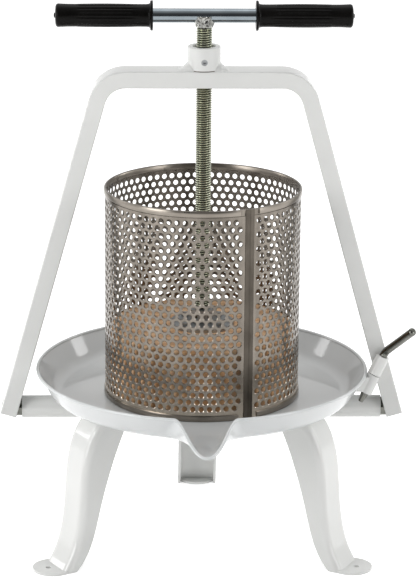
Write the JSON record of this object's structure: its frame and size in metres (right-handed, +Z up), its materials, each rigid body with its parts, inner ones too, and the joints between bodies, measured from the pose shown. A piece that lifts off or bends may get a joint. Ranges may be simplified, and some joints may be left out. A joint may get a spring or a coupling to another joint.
{
  "type": "screw fruit press",
  "caption": "Table-top fruit press: perforated basket in a legged tray with a spout, and a hand-turned screw in a bent yoke that drives a wooden press plate.",
  "frame": {"origin": "on the ground under the screw, at the centre of the circle of foot holes", "axes": "+Z up along the screw, -Y towards the spout, +X to the right as seen from the spout"},
  "size_m": [0.3991, 0.3822, 0.5392],
  "materials": {
    "white_enamel": "gloss",
    "zinc_steel": "satin",
    "yellow_zinc": "satin",
    "stainless_sheet": "satin",
    "black_grip": "gloss",
    "beech": "matt"
  },
  "bodies": {
    "stand": {"tray": "white_enamel", "leg_front_left": "white_enamel", "leg_front_right": "white_enamel", "leg_rear": "white_enamel", "cross_tube": "white_enamel", "tube_saddle_left": "white_enamel", "tube_saddle_right": "white_enamel", "yoke": "white_enamel", "nut_boss": "white_enamel", "lock_bracket": "white_enamel", "lock_sleeve": "white_enamel", "lock_socket": "white_enamel", "pivot_axle": "zinc_steel", "grub_screw": "zinc_steel", "screw_nut": "zinc_steel", "press_block": "beech"},
    "plate": {"press_plate": "beech", "thrust_plate": "zinc_steel", "plate_screws": "zinc_steel", "keeper_pins": "zinc_steel"},
    "screw_and_handle": {"screw": "yellow_zinc", "handle_bar": "zinc_steel", "grip_left": "black_grip", "grip_right": "black_grip"},
    "basket_body": {"basket": "stainless_sheet"},
    "lock_pin_body": {"lock_pin": "zinc_steel"}
  },
  "joints": [
    {"name": "plate_lift", "type": "slide", "parent": "stand", "child": "plate", "axis": [0, 0, 1], "range_m": [0, 0.21825]},
    {"name": "screw_turn", "type": "hinge", "parent": "plate", "child": "screw_and_handle", "pos_m": [0, 0, 0.23], "axis": [0, 0, 1], "range_deg": [0, 34920]},
    {"name": "basket_lift", "type": "slide", "parent": "stand", "child": "basket_body", "axis": [0, 0, 1], "range_m": [0, 0.07]},
    {"name": "lock_pin_pull", "type": "slide", "parent": "stand", "child": "lock_pin_body", "axis": [0.4147, 0, 0.91], "range_m": [0, 0.034]}
  ],
  "couplings": [
    {"joint": "plate_lift", "follows": "screw_turn", "m_per_rad": 0.0003581}
  ]
}
